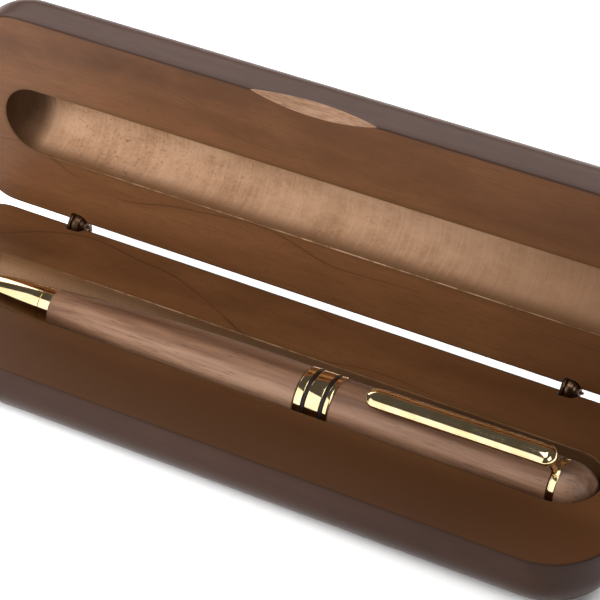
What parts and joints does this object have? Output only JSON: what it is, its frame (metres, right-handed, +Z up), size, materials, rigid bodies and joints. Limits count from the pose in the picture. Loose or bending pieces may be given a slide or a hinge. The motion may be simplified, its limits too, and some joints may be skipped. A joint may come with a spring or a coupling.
{
  "type": "pen case",
  "caption": "Wooden clamshell pen case, standing open on two small rivet hinges, with a twist ballpoint lying in its routed groove.",
  "frame": {"origin": "middle of the base's flat underside, with the case standing open", "axes": "+X along the case towards the pen's clip end, +Y from the front to the hinges, +Z up"},
  "size_m": [0.166, 0.0614, 0.0614],
  "materials": {
    "case_wood": "dark walnut stain, satin lacquer",
    "pen_wood": "streaky walnut, turned and waxed",
    "gold_plate": "polished gold plate",
    "black_enamel": "gloss black",
    "bronze": "dark antique bronze",
    "brass_tube": "plain drawn brass",
    "mechanism_steel": "turned steel",
    "refill_plastic": "smooth dark plastic"
  },
  "bodies": {
    "base": {"base_half": "case_wood", "left_base_leaf": "bronze", "right_base_leaf": "bronze", "left_hinge_pin": "bronze", "right_hinge_pin": "bronze"},
    "lid": {"lid_half": "case_wood", "left_lid_leaf": "bronze", "right_lid_leaf": "bronze"},
    "pen_upper": {"upper_barrel": "pen_wood", "upper_tube": "brass_tube", "mechanism_stem": "mechanism_steel", "centre_band": "gold_plate", "band_rings": "black_enamel", "clip": "gold_plate", "clip_ring": "gold_plate", "finial": "pen_wood", "finial_plug": "brass_tube"},
    "pen_lower": {"lower_barrel": "pen_wood", "lower_tube": "brass_tube", "nose_cone": "gold_plate", "mechanism_body": "mechanism_steel"},
    "refill": {"refill_carrier": "mechanism_steel", "refill_tube": "refill_plastic", "refill_tip": "brass_tube"}
  },
  "joints": [
    {"name": "lid_hinge", "type": "hinge", "parent": "base", "child": "lid", "pos_m": [0, 0.02436, 0.01353], "axis": [1, 0, 0], "range_deg": [0, 90]},
    {"name": "pen_lift", "type": "slide", "parent": "base", "child": "pen_upper", "axis": [0, 0, 1], "range_m": [0, 0.03]},
    {"name": "pen_twist", "type": "hinge", "parent": "pen_upper", "child": "pen_lower", "pos_m": [0.0108, 0.001, 0.01075], "axis": [1, 0, 0], "range_deg": [0, 180]},
    {"name": "refill_feed", "type": "slide", "parent": "pen_lower", "child": "refill", "axis": [-1, 0, 0], "range_m": [0, 0.0033]}
  ],
  "couplings": [
    {"joint": "refill_feed", "follows": "pen_twist", "m_per_rad": 0.0010186}
  ]
}
